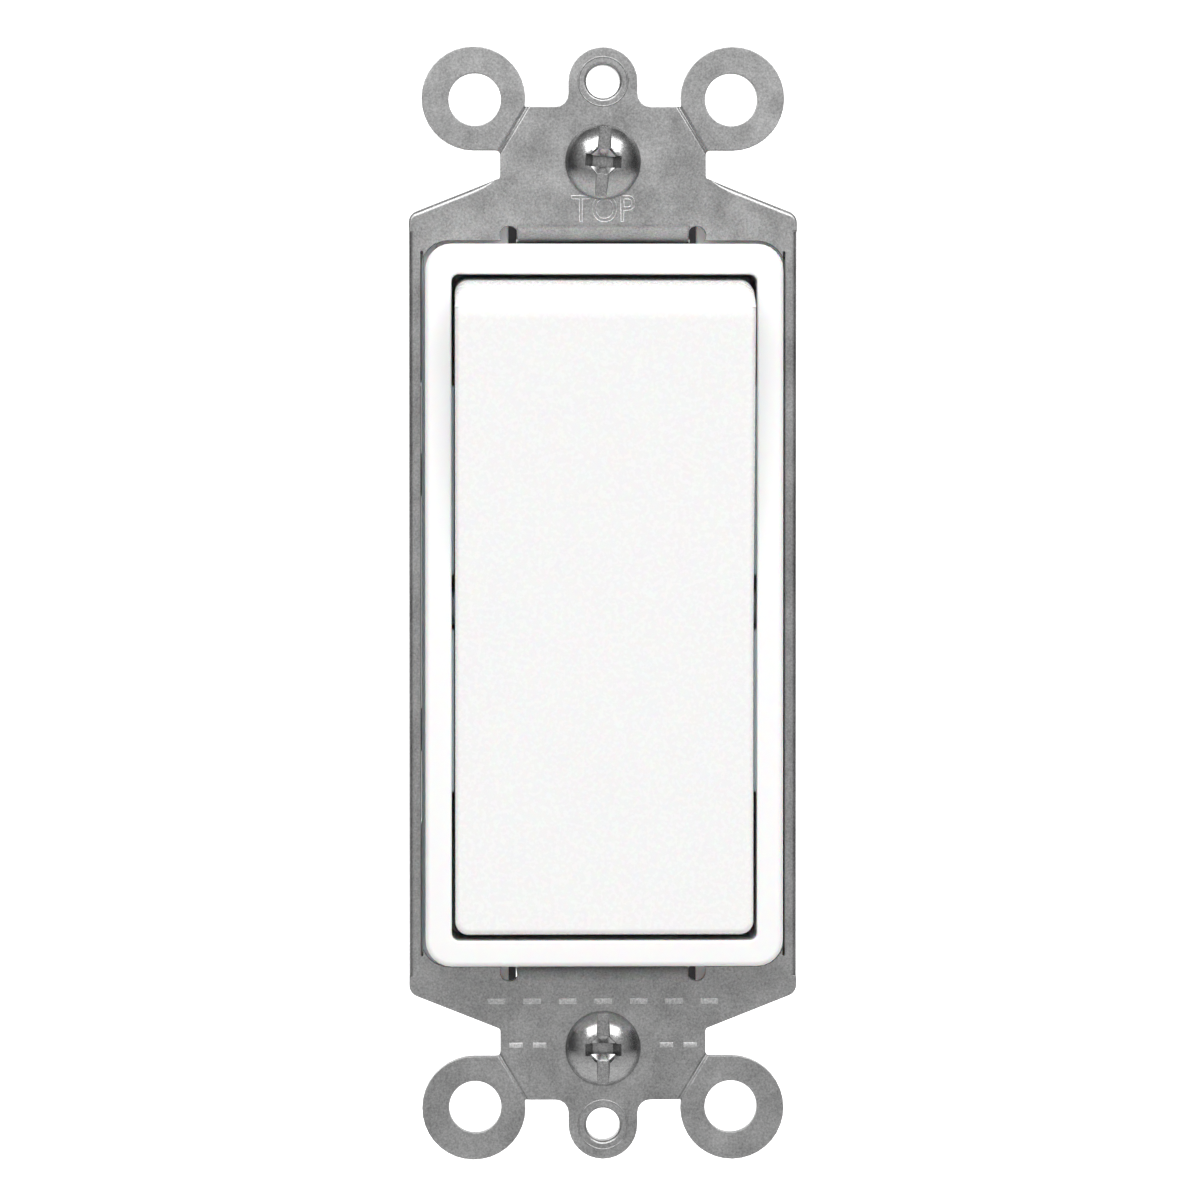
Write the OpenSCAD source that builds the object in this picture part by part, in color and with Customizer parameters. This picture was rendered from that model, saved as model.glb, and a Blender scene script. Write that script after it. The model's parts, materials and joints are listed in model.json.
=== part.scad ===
/* [Strap] */
// Overall width across the folded side rails
strap_w = 36; // [35.8:0.1:36.4]
// Sheet thickness of the strap
strap_t = 1.2; // [1.1:0.05:1.25]
// Distance between the two cover-plate screw holes
plate_pitch = 96.84; // [96.4:0.02:97]
// Distance of the plaster-ear holes, side to side
ear_pitch_x = 23.75; // [23.5:0.05:24]
// Distance of the plaster-ear holes, top to bottom
ear_pitch_z = 93.5; // [93.2:0.1:93.8]

/* [Front frame] */
// Width of the raised front frame
frame_w = 32.9; // [32.7:0.1:33]
// Height of the raised front frame
frame_h = 66.5; // [66.3:0.1:66.7]
// Width of the opening for the paddle
open_w = 28.1; // [28:0.05:28.2]
// Height of the opening for the paddle
open_h = 61.3; // [61.2:0.05:61.5]
// How far the frame stands in front of the strap
frame_rise = 5.2; // [5:0.1:5.4]

/* [Rocker] */
// Width of the paddle
paddle_w = 27.45; // [27.2:0.05:27.5]
// Radius of the paddle's end faces about its pivot
paddle_r = 30.45; // [30.2:0.05:30.5]
// Total tilt from off to on, in degrees
tilt = 8; // [7.5:0.25:8]
// Depth of the pivot behind the middle of the paddle's face
pivot_depth = 5; // [4.9:0.1:5.1]

/* [Housing] */
// Depth of the switch body behind the strap
body_d = 24; // [23.5:0.5:26]
// Wall thickness of the housing
wall = 2; // [1.8:0.1:2.2]

/* [Terminals and screws] */
// Radius of the number 6 screws
screw_r = 1.75; // [1.7:0.01:1.75]
// Height of the wire terminals above and below the middle
term_z = 17.5; // [17.4:0.1:17.8]
// Travel of a terminal screw from open to clamped
clamp_travel = 2.5; // [2:0.1:2.5]
// Place of the upper mounting screw
mount_top_z = 41; // [40.9:0.05:41.4]
// Place of the lower mounting screw, below the middle
mount_bottom_z = 41.3; // [40.9:0.05:41.5]
// Radius of the undercut below a mounting screw's head
undercut_r = 1.45; // [1.4:0.01:1.5]

/* [Hidden] */
$fn = 48;

face_y = -strap_t - frame_rise;   // front face of the frame
open_z = -0.2;                    // middle of the paddle opening
pivot_y = face_y - 0.2 + pivot_depth;
pivot_z = -0.2;
half_tilt = tilt / 2;
run = 0.05;                       // running clearance of pivots and slides

lobe_r = 3.2;                     // round end lobes that carry the cover-plate screws
lobe_z = plate_pitch / 2;
notch_z = 46.1;                   // floor of the notch between lobe and ear
ear_r = 4.81;
ear_hole_r = 2.42;
ear_c = [12, 46.85];              // middle of an ear's round outline
neck_x = 9.54;
neck_z = 39.6;
shoulder_z = 36.4;                // height of the shoulders' outer corners
window_h = 67.4;
rail_in = strap_w / 2 - 1.1;      // inner face of the side rails
relief = [8.7, 34.2];             // half-round relief notches beside the bent lips
relief_r = 0.85;
lip_x = relief[0] - 0.75;         // half-width of the bent-back lips
bend_r = 1.6;                     // outer bend radius of the lips
rail_z = 34.6;                    // half-length of the folded side rails
wing_z = 20.4;                    // half-length of the deep part of the side rails
wing_y = 8.5;
latch_z = 12;                     // latch windows in the wings
slot_z = 41.4;                    // slots of the mounting screws
slot_r = 2.35;
plate_hole_r = 1.55;

split_y = 6;                      // plane where frame and housing meet
gusset_y = 2.2;                   // front of the frame's corner blocks and inner ledge
gusset = [6.5, 6];
ledge = [0.9, 3];                 // ledge inside the frame, at the sides and the ends
case_screw = [12.2, 28.6];        // assembly screws from the back
case_screw_r = 1.3;
ledge_y = 7.72;                   // ledges in the housing that carry the insulating sheet

lever = 11.4;                     // pivot to plunger tip
arm_tilt = 6;                     // tilt of the contact arm at either end
arm_y = pivot_y + lever + 0.03 + 1.6;
contact_w = 13;                   // pivot to moving contact
contact_r = 2.2;
dome_r = 6;                       // curve of the fixed contact
strip_y = arm_y + 1.9;            // front of the line terminal's strip
load_y = 14.35;                   // front of the load terminal's strip
term_y = 14;                      // depth of the terminal screws
term_x = 10.6;                    // outer face of the terminal plates
clamp_x = term_x + run + clamp_travel;
clamp_t = 1.2;
wire_x = (term_x + clamp_x) / 2;  // wire holes, between plate and clamp
wire_dz = 3.6;
wire_r = 1.2;
ground_at = [-4, 8.7];            // ground screw on the lower lip, x and y
lip_top = window_h / 2;           // inner face of the bent lips
ground_z = -lip_top - strap_t;    // face that the ground screw clamps on

function arc(c, r, a0, a1, n = 8) =
    [for (i = [0 : n]) c + r * [cos(a0 + (a1 - a0) * i / n), sin(a0 + (a1 - a0) * i / n)]];
function flip_x(p) = [for (i = [len(p) - 1 : -1 : 0]) [-p[i][0], p[i][1]]];
function flip_z(p) = [for (i = [len(p) - 1 : -1 : 0]) [p[i][0], -p[i][1]]];
function round_rect(w, h, r, n = 6) = concat(
    arc([w / 2 - r, h / 2 - r], r, 0, 90, n), arc([r - w / 2, h / 2 - r], r, 90, 180, n),
    arc([r - w / 2, r - h / 2], r, 180, 270, n), arc([w / 2 - r, r - h / 2], r, 270, 360, n));

// outline in X and Z, pushed from one depth to another
module plate(y0, y1) {
    translate([0, y1, 0]) rotate([90, 0, 0]) linear_extrude(y1 - y0) children();
}
// round bar along Y
module bar_y(r, x, z, y0, y1) {
    translate([x, y1, z]) rotate([90, 0, 0]) cylinder(r = r, h = y1 - y0);
}
// cone along Y, r0 at the front and r1 at the back
module cone_y(r0, r1, x, z, y0, y1) {
    translate([x, y0, z]) rotate([-90, 0, 0]) cylinder(r1 = r0, r2 = r1, h = y1 - y0);
}
// round bar along X
module bar_x(r, y, z, x0, x1) {
    translate([x0, y, z]) rotate([0, 90, 0]) cylinder(r = r, h = x1 - x0);
}
// box between two corners
module block(a, b) { translate(a) cube(b - a); }
module both_ends() { children(); mirror([0, 0, 1]) children(); }
module both_sides() { children(); mirror([1, 0, 0]) children(); }
module four_ways() { both_ends() both_sides() children(); }

// upper right quarter of the strap's outline
quarter = concat(
    arc([0, lobe_z], lobe_r, 90, 0),
    arc([lobe_r + 1.2, notch_z + 1.2], 1.2, 180, 270, 4),
    arc(ear_c, ear_r, 189, -90, 28),
    arc([neck_x + 0.4, ear_c[1] - ear_r - 0.4], 0.4, 90, 180, 4),
    arc([neck_x + 0.35, neck_z + 0.13], 0.35, 180, 248, 4),
    arc([strap_w / 2 - 1.1, shoulder_z - 1], 1.1, 68, 0, 5));
half = concat(quarter, flip_z(quarter));

module strap_outline() { polygon(concat(half, flip_x(half))); }

// V grooves that let a plaster ear be broken off
module ear_groove(y) {
    d = [9.9 - 6.8, 41.4 - 46.5];
    translate([6.8, y, 46.5]) rotate([0, -atan2(d[1], d[0]), 0]) rotate([90, 0, 90])
        linear_extrude(norm(d)) polygon([[-0.22, 0], [0, -0.22], [0.22, 0], [0, 0.22]]);
}

// lip bent back from the strap beside the window, of the given depth
module lip(x0, x1, depth) {
    c = [bend_r - strap_t, lip_top + bend_r];
    outer = concat(arc(c, bend_r, 180, 270, 8), [[depth, lip_top], [depth, lip_top + strap_t]],
        arc(c, bend_r - strap_t, 270, 180, 4));
    translate([x0, 0, 0]) rotate([90, 0, 90]) linear_extrude(x1 - x0) polygon(outer);
}

module side_rail() {
    edge = concat([[rail_in - 0.5, 0], [rail_in - 0.5, -strap_t]],
        arc([strap_w / 2 - 0.6, -strap_t + 0.6], 0.6, -90, 0, 5),
        [[strap_w / 2, 3.2], [rail_in, 3.2], [rail_in, 0]]);
    difference() {
        translate([0, 0, -rail_z]) linear_extrude(2 * rail_z) polygon(edge);
        block([rail_in - 1, -2, -window_h / 2 + 1], [rail_in, 4, window_h / 2 - 1]);
    }
    difference() {
        block([rail_in, 2.5, -wing_z], [strap_w / 2, wing_y, wing_z]);
        for (s = [-1, 1])
            block([rail_in - 1, 4.4, s * latch_z - 2.2], [strap_w / 2 + 1, 7.6, s * latch_z + 2.2]);
    }
}

module screw_slot() {
    plate(-3, 2) polygon(concat(arc([0.9, slot_z], slot_r, -90, 90, 10),
        arc([-0.9, slot_z], slot_r, 90, 270, 10)));
}

module mounting_strap() color("silver") {
    difference() {
        union() {
            difference() {
                plate(-strap_t, 0) strap_outline();
                plate(-strap_t - 1, 1) polygon(round_rect(2 * rail_in, window_h, 2.6));
                both_ends() block([-lip_x, -2, lip_top - 1], [lip_x, 2, lip_top + bend_r]);
                four_ways() bar_y(relief_r, relief[0], relief[1], -3, 2);
                both_sides() block([rail_in - 0.2, -2, -rail_z], [strap_w, 1, rail_z]);
                both_ends() screw_slot();
            }
            both_sides() side_rail();
            lip(-lip_x, lip_x, 3.2);
            mirror([0, 0, 1]) {
                lip(-lip_x, ground_at[0] + 3.8, ground_at[1] + 4);
                lip(ground_at[0] + 3.8, lip_x, 3.2);
            }
            both_ends() bar_y(2.5, 0, lobe_z, -0.6, 0.9);
        }
        both_ends() bar_y(plate_hole_r, 0, lobe_z, -3, 3);
        both_ends() cone_y(1.77, 1.37, 0, lobe_z, -strap_t - 0.02, -strap_t + 0.38);
        four_ways() bar_y(ear_hole_r, ear_pitch_x / 2, ear_pitch_z / 2, -3, 2);
        four_ways() { ear_groove(-strap_t); ear_groove(0); }
        translate([ground_at[0], ground_at[1], ground_z - 1]) cylinder(r = screw_r + run, h = 4);
    }
}

module front_frame() color("white") {
    difference() {
        union() {
            plate(face_y, split_y) polygon(round_rect(frame_w, frame_h, 2.4));
            four_ways() block([relief[0] + 0.05, 1, frame_h / 2 - 1], [frame_w / 2, 2.4, 36.1]);
            // flanges that close the gap beside the rails from behind
            both_sides() block([frame_w / 2 - 1, 0.3, -rail_z], [rail_in - run, split_y, rail_z]);
            four_ways() block([frame_w / 2 - 1, 3.4, wing_z + 0.3], [17.4, split_y, 36]);
        }
        translate([0, 0, open_z]) difference() {
            plate(face_y - 1, split_y + 1) polygon(round_rect(open_w, open_h, 0.7));
            difference() {
                plate(gusset_y, split_y + 2) square([open_w + 2, open_h + 2], center = true);
                plate(gusset_y - 1, split_y + 3)
                    square([open_w - 2 * ledge[0], open_h - 2 * ledge[1]], center = true);
            }
            // steps that guide the paddle's sides, away from its pivots
            both_sides() for (z = [[-17, -2.1], [3, 20.4]])
                block([paddle_w / 2 + 0.085, face_y + 1.3, z[0]], [open_w, split_y + 2, z[1]]);
            four_ways() block([open_w / 2 - gusset[0], gusset_y, open_h / 2 - gusset[1]],
                [open_w / 2 + 1, split_y + 2, open_h / 2 + 1]);
        }
        bar_x(screw_r + run, pivot_y, pivot_z, -frame_w, frame_w);
        both_sides() block([open_w / 2 - 1, pivot_y, pivot_z - 1.45],
            [frame_w / 2 - 0.2, split_y + 1, pivot_z + 1.45]);
        four_ways() bar_y(case_screw_r + 0.02, case_screw[0], case_screw[1], gusset_y + 0.6, 9);
    }
}

// everything on the rocker is drawn level and then tipped to off
module on_rocker() { translate([0, pivot_y, pivot_z]) rotate([half_tilt, 0, 0]) children(); }

// side outline of the paddle, front to the left, with its round ends about the pivot
function paddle_face(w) = -pivot_depth - abs(w) * tan(half_tilt);
module paddle_side(inset, back) {
    tip = paddle_r - 0.95 - inset;
    top = concat([[back, 0]], [for (a = [2 : 2 : 12]) (paddle_r - inset) * [-sin(a - 4), cos(a - 4)]],
        arc([paddle_face(tip) + inset + 1.5, tip - 0.8], 1.4, 100, 176, 6),
        [[paddle_face(0) + inset, 0]]);
    polygon(concat([[back, paddle_r - inset]], [for (i = [1 : len(top) - 1]) top[i]],
        [for (i = [len(top) - 2 : -1 : 1]) [top[i][0], -top[i][1]]], [[back, inset - paddle_r]]));
}
module rocker_paddle() color("white") on_rocker() {
    difference() {
        rotate([90, 0, 90]) translate([0, 0, -paddle_w / 2])
            linear_extrude(paddle_w) paddle_side(0, 1);
        rotate([90, 0, 90]) translate([0, 0, 1.6 - paddle_w / 2])
            linear_extrude(paddle_w - 3.2) paddle_side(1.6, 2);
    }
    both_sides() {
        bar_x(3.4, 0, 0, paddle_w / 2 - 1.6, paddle_w / 2);
        bar_x(screw_r, 0, 0, paddle_w / 2 - 0.8, 15.9);
    }
    both_ends() {
        block([1 - paddle_w / 2, -4, 7.05], [paddle_w / 2 - 1, -1, 8.15]);
        block([-3, -1.5, 6.4], [3, -1, 7.1]);
        block([1 - paddle_w / 2, -4.5, 18], [paddle_w / 2 - 1, -1, 19.1]);
    }
}

module rocker_carrier() color("dimgray") on_rocker() {
    difference() {
        union() {
            block([-9, -3.3, -7.03], [9, -1.52, 7.03]);
            bar_y(3.5, 0, 0, -2, 6.2);
            both_sides() block([2, -1.6, -0.6], [8, 2, 0.6]);
            both_ends() block([-0.6, -1.6, 2], [0.6, 2, 6.2]);
        }
        bar_y(2.1, 0, 0, -2.6, 7);
    }
}

module plunger() color("ivory") on_rocker() {
    rotate([-90, 0, 0]) rotate_extrude() polygon(concat(
        [[1.45, 0.2], [2.05, 0.2], [2.05, 9.2]], arc([0, lever - 1], 1, 0, 90, 6),
        [[0, 7.8], [1.45, 7.8]]));
}

// closed helix of round wire
module plunger_spring() color("silver") on_rocker() {
    turns = 8; steps = 14; sides = 8; wire = 0.22; mean = 1.12; len = 9.2;
    n = turns * steps;
    points = [for (i = [0 : n]) let (a = 360 * i / steps, y = -2.35 + len * i / n)
        for (j = [0 : sides - 1]) let (b = 360 * j / sides, r = mean + wire * cos(b))
        [r * cos(a), y + wire * sin(b), r * sin(a)]];
    faces = concat([[for (j = [0 : sides - 1]) j]],
        [[for (j = [sides - 1 : -1 : 0]) n * sides + j]],
        [for (i = [0 : n - 1]) for (j = [0 : sides - 1]) let (k = (j + 1) % sides)
            [i * sides + j, (i + 1) * sides + j, (i + 1) * sides + k, i * sides + k]]);
    polyhedron(points, faces);
}

module bumper_pads() color("gray") translate([0, 0, pivot_z])
    four_ways() block([8.5, 1.58, 28.2], [12.8, gusset_y, 30.2]);

module rear_housing() color("dimgray") difference() {
    union() {
        difference() {
            plate(split_y + 0.02, body_d) polygon(round_rect(frame_w, frame_h, 2.4));
            plate(split_y - 1, body_d - wall)
                polygon(round_rect(frame_w - 2 * wall, frame_h - 2 * wall, 1));
            both_ends() block([frame_w / 2 - wall - 1, 9.2, term_z - 6],
                [frame_w, 19.4, term_z + 6]);
        }
        // posts of the assembly screws
        four_ways() block([frame_w / 2 - 8, split_y + 0.02, frame_h / 2 - 8.5],
            [frame_w / 2 - 1, body_d - 1, frame_h / 2 - 1]);
        // walls around the two terminal pockets
        both_ends() {
            block([10.9, ledge_y, term_z - 6.8], [frame_w / 2 - 1, body_d - 1, term_z - 6]);
            block([10.9, ledge_y, term_z + 6], [frame_w / 2 - 1, body_d - 1, term_z + 6.8]);
            block([10.9, ledge_y, term_z - 6.4], [frame_w / 2 - 1, 9.2, term_z + 6.4]);
            block([1 - frame_w / 2, ledge_y, term_z - 6.8], [-12.4, 12, term_z + 6.8]);
            block([9.5, 19.4, term_z - 6.8], [frame_w / 2 - 1, body_d - 1, term_z + 6.8]);
        }
        // rests of the cradle, the load strip and the idle end of the arm
        block([-4, strip_y + 1.02, -2.4], [4, body_d - 1, 1.8]);
        block([-3.4, load_y + 2.1, -15], [7, body_d - 1, -9.8]);
        block([-2.5, arm_y + 0.35, 7.4], [2.5, body_d - 1, 9.4]);
        // latches that snap into the strap's wings
        four_ways() translate([0, 0, latch_z]) translate([0, 0, -2]) linear_extrude(4)
            polygon([[frame_w / 2 - 0.5, split_y + 0.1], [frame_w / 2, split_y + 0.1],
                [strap_w / 2 - 0.4, 7.5], [frame_w / 2 - 0.5, 7.5]]);
        // flanges behind the lips, open where the ground screw's lip passes
        for (x = [[-9.6, 9.6, 1], [-9.6, -lip_x - run, -1], [ground_at[0] + 4, 9.6, -1]])
            scale([1, 1, x[2]]) block([x[0], split_y + 0.02, lip_top - 1.5], [x[1], wing_y, 36.2]);
        block([-9.6, split_y + 0.02, run - lip_top], [9.6, wing_y, -lip_top + 1.5]);
        // boss of the ground screw's pocket
        block([ground_at[0] - 4, split_y + 0.02, -frame_h / 2 + 0.1],
            [ground_at[0] + 4, ground_at[1] + 4, -28.6]);
    }
    four_ways() {
        bar_y(case_screw_r + 0.2, case_screw[0], case_screw[1], split_y - 1, body_d + 1);
        bar_y(2.6, case_screw[0], case_screw[1], body_d - 2.4, body_d + 1);
    }
    both_ends() for (s = [-1, 1])
        bar_y(wire_r, wire_x, term_z + s * wire_dz, 19, body_d + 1);
    translate([ground_at[0], ground_at[1], -frame_h / 2 - 1]) cylinder(r = 2.3, h = 4.6);
}

module insulating_sheet() color("tan") difference() {
    plate(ledge_y - 0.42, ledge_y - 0.02) polygon(round_rect(frame_w - 2 * wall - 0.3, 48.6, 1.5));
    plate(ledge_y - 1, ledge_y + 1) polygon(round_rect(9.6, 12, 3.5));
}

module on_arm() { translate([0, arm_y, pivot_z]) rotate([-arm_tilt, 0, 0]) children(); }

module contact_arm() color("peru") on_arm() {
    difference() {
        block([-3, -1.6, -15.5], [3, -0.8, 9.4]);
        bar_y(1.02, 0, -contact_w, -3, 1);
    }
    bar_x(1, 0, 0, -4, 4);
    block([-3, -1.2, -0.6], [3, -0.5, 0.6]);
}

module moving_contact() color("silver") on_arm() {
    translate([0, 0, -contact_w]) rotate([-90, 0, 0]) rotate_extrude() polygon([
        [0, -2.1], [1.5, -2.1], [1.7, -1.9], [1.7, -1.61], [1, -1.61], [1, -0.79],
        [contact_r, -0.79], [contact_r, 0.25], [contact_r - 0.25, 0.5], [0, 0.5]]);
}

// the fixed contact's dome is set where the moving contact lies flat on it
dome_y = arm_y + (0.54 + dome_r) * cos(arm_tilt) + contact_w * sin(arm_tilt) - dome_r;
dome_z = pivot_z + (0.54 + dome_r) * sin(arm_tilt) - contact_w * cos(arm_tilt);
module fixed_contact() color("silver") {
    rim = asin(contact_r / dome_r);
    translate([0, dome_y, dome_z]) rotate([-90, 0, 0]) rotate_extrude() polygon(concat(
        [for (i = [0 : 6]) [dome_r * sin(rim * i / 6), dome_r * (1 - cos(rim * i / 6))]],
        [[contact_r, load_y - dome_y], [1, load_y - dome_y], [1, load_y - dome_y + 1.3],
        [0, load_y - dome_y + 1.3]]));
}

// flat brass plate of a wire terminal, with its threaded hole
module terminal_plate() {
    difference() {
        block([term_x - 1, 9.6, term_z - 5.6], [term_x, 18.6, term_z + 5.6]);
        bar_x(screw_r + run, term_y, term_z, 0, 20);
    }
}
module line_terminal() color("goldenrod") {
    terminal_plate();
    block([term_x - 1, 12, -2.5], [term_x, 16, term_z - 5]);
    block([-5, strip_y, -2.5], [term_x - 0.5, strip_y + 1, 1.9]);
    difference() {
        block([-5, arm_y, -2.5], [5, strip_y + 0.5, 1.9]);
        bar_x(1 + run, arm_y, pivot_z, -4.1, 4.1);
    }
}
module load_terminal() color("goldenrod") {
    mirror([0, 0, 1]) terminal_plate();
    block([term_x - 1, 12, -term_z + 5], [term_x, 16, -9.8]);
    difference() {
        block([-3.4, load_y, -15.1], [term_x - 0.5, load_y + 0.8, -9.8]);
        bar_y(1.02, 0, dome_z, load_y - 1, load_y + 3);
    }
}

// round-headed screw with a cross recess and a slot, standing on the origin, head up
module screw(head_r, head_h, length, slot_w) {
    dome = (head_r * head_r + head_h * head_h) / (2 * head_h);
    rim = asin(head_r / dome);
    difference() {
        rotate_extrude() polygon(concat(
            [[0, -length], [screw_r - 0.5, -length], [screw_r, -length + 0.5], [screw_r, 0],
            [head_r - 0.05, 0]],
            [for (i = [8 : -1 : 0]) [dome * sin(rim * i / 8), head_h - dome * (1 - cos(rim * i / 8))]
                + [0, i > 0 ? 0.02 : 0]]));
        translate([-head_r, -slot_w / 2, head_h - 0.9]) cube([2 * head_r, slot_w, 2]);
        translate([-slot_w / 2, -1.9, head_h - 1.3]) cube([slot_w, 3.8, 3]);
    }
}
module terminal_screw() {
    translate([clamp_x + clamp_t + run, term_y, term_z]) rotate([0, 90, 0])
        screw(3.3, 2.2, 6.4, 1);
}
module line_terminal_screw() color("gold") terminal_screw();
module load_terminal_screw() color("gold") mirror([0, 0, 1]) terminal_screw();

module clamp_plate() {
    difference() {
        block([clamp_x, 9.8, term_z - 5.4], [clamp_x + clamp_t, 18.4, term_z + 5.4]);
        bar_x(screw_r + 0.15, term_y, term_z, 0, 20);
        for (s = [-1, 1]) bar_y(0.7, clamp_x - 0.3, term_z + s * wire_dz, 9, 19);
    }
}
module line_clamp_plate() color("goldenrod") clamp_plate();
module load_clamp_plate() color("goldenrod") mirror([0, 0, 1]) clamp_plate();

module ground_screw() color("seagreen") {
    translate([ground_at[0], ground_at[1], ground_z - 0.75]) rotate([180, 0, 0])
        screw(3.3, 2, 5.2, 1);
}
module ground_clamp_washer() color("seagreen") {
    translate([ground_at[0], ground_at[1], ground_z - 0.7]) difference() {
        cylinder(r = 3.6, h = 0.65);
        translate([0, 0, -1]) cylinder(r = screw_r + 0.06, h = 3);
    }
}

// the undercut lets the retaining washer hold the screw, because the thread can't pass it
module mount_screw(z, turn) {
    translate([0, -strap_t - 0.05, z]) rotate([90, 0, 0]) rotate([0, 0, 90 + turn]) difference() {
        screw(3.5, 1.9, 22, 1.3);
        translate([0, 0, -strap_t - 1.2]) difference() {
            cylinder(r = screw_r + 1, h = strap_t + 1.2);
            translate([0, 0, -1]) cylinder(r = undercut_r, h = strap_t + 3);
        }
    }
}
module mount_screw_top() color("silver") mount_screw(mount_top_z, 4);
module mount_screw_bottom() color("silver") mount_screw(-mount_bottom_z, 0);

// washer behind the strap that keeps a mounting screw from falling out
module screw_retainer(z) {
    difference() {
        bar_y(3.9, 0, z, 0.05, 0.8);
        bar_y(undercut_r + 0.06, 0, z, -1, 2);
    }
}
module screw_retainer_top() color("sienna") screw_retainer(mount_top_z);
module screw_retainer_bottom() color("sienna") screw_retainer(-mount_bottom_z);

module housing_screws() color("silver") {
    four_ways() translate([case_screw[0], body_d - 2.38, case_screw[1]]) rotate([-90, 0, 0]) {
        difference() {
            cylinder(r = 2.4, h = 1.7);
            for (a = [0, 90]) rotate([0, 0, a]) translate([-1.4, -0.3, 0.8]) cube([2.8, 0.6, 2]);
        }
        translate([0, 0, -17]) cylinder(r = case_screw_r, h = 17.5);
    }
}

mounting_strap();
front_frame();
rocker_paddle();
rocker_carrier();
plunger();
plunger_spring();
bumper_pads();
rear_housing();
insulating_sheet();
contact_arm();
moving_contact();
fixed_contact();
line_terminal();
load_terminal();
line_terminal_screw();
load_terminal_screw();
line_clamp_plate();
load_clamp_plate();
ground_screw();
ground_clamp_washer();
mount_screw_top();
mount_screw_bottom();
screw_retainer_top();
screw_retainer_bottom();
housing_screws();
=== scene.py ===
"""Decorator rocker wall switch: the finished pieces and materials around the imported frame."""

import json
import math

import bmesh
import bpy
from mathutils import Matrix, Vector


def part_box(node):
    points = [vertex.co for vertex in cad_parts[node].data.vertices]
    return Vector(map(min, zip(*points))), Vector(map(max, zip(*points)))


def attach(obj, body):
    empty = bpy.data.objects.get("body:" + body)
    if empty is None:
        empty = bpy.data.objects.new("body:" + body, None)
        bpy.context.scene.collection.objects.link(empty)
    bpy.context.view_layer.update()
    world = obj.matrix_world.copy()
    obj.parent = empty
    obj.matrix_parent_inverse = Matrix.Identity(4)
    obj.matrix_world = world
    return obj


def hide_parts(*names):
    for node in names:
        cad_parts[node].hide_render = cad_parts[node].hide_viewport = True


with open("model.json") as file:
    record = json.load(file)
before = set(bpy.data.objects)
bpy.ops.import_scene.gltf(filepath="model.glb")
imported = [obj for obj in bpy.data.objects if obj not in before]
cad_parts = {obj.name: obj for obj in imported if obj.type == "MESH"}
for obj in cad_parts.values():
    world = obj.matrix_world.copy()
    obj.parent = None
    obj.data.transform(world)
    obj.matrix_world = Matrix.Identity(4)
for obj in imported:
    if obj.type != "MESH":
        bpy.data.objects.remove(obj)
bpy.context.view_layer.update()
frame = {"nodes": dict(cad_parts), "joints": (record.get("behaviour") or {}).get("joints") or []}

bl_info = {
    "name": "Rocker Wall Switch",
    "version": (1, 0, 0),
    "blender": (4, 5, 0),
    "location": "3D View > Sidebar > Rocker Switch",
    "description": "Builds the finished pieces of a decorator rocker wall switch",
    "category": "Object",
}

MM = 0.001
STRAP_LOW, STRAP_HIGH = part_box("mounting_strap")
FRAME_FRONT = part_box("front_frame")[0].y
JOINTS = {joint["name"]: joint for joint in frame["joints"]}
PIVOT = Vector(JOINTS["rocker_tilt"]["pos_m"])
HALF_TILT = math.radians(JOINTS["rocker_tilt"]["range_deg"][1]) / 2
STRAP_T = 1.2 * MM
THREAD_R = 1.75 * MM       # outside of every 6-32 thread
PADDLE_BEND = -3.5 * MM    # depth at which the paddle's end faces change slope
CURL_START = 27.0 * MM     # height from which the paddle's face curls back


# ---------------------------------------------------------------- sizes and colours


class StrapSettings(bpy.types.PropertyGroup):
    edge: bpy.props.FloatProperty(
        name="Edge", description="Rounding of the sheared edges", default=0.09 * MM, unit="LENGTH")
    fold: bpy.props.FloatProperty(
        name="Fold", description="Rounding along the shoulders", default=0.5 * MM, unit="LENGTH")
    letters: bpy.props.FloatProperty(
        name="Letters", description="Height of the stamped word", default=2.45 * MM, unit="LENGTH")
    colour: bpy.props.FloatVectorProperty(
        name="Colour", description="Zinc plating", default=(0.42, 0.42, 0.42), size=3,
        subtype="COLOR", min=0, max=1)


class PlasticSettings(bpy.types.PropertyGroup):
    edge: bpy.props.FloatProperty(
        name="Edge", description="Rounding of moulded edges", default=0.22 * MM, unit="LENGTH")
    corner: bpy.props.FloatProperty(
        name="Corner", description="Corner radius of the paddle", default=1.2 * MM, unit="LENGTH")
    roll: bpy.props.FloatProperty(
        name="Roll", description="Rounding of the paddle's edges", default=0.5 * MM, unit="LENGTH")
    white: bpy.props.FloatVectorProperty(
        name="White", description="Frame and paddle", default=(0.90, 0.90, 0.895), size=3,
        subtype="COLOR", min=0, max=1)


class ScrewSettings(bpy.types.PropertyGroup):
    head: bpy.props.FloatProperty(
        name="Head", description="Radius of a mounting screw's head", default=3.5 * MM,
        unit="LENGTH")
    rise: bpy.props.FloatProperty(
        name="Rise", description="Height of the domed head", default=1.95 * MM, unit="LENGTH")
    slot: bpy.props.FloatProperty(
        name="Slot", description="Width of the straight slot", default=1.3 * MM, unit="LENGTH")
    pitch: bpy.props.FloatProperty(
        name="Pitch", description="Pitch of the thread, 32 to the inch", default=0.79375 * MM,
        unit="LENGTH")


class StageSettings(bpy.types.PropertyGroup):
    distance: bpy.props.FloatProperty(
        name="Distance", description="Camera to switch", default=0.54, unit="LENGTH")
    lens: bpy.props.FloatProperty(
        name="Lens", description="Focal length", default=174.6, subtype="DISTANCE_CAMERA")
    key: bpy.props.FloatProperty(
        name="Key", description="Power of the overhead softbox", default=3.5, unit="POWER")
    room: bpy.props.FloatProperty(
        name="Room", description="Brightness of the surroundings", default=0.62, min=0, max=3)


# ---------------------------------------------------------------- modelling helpers


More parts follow.
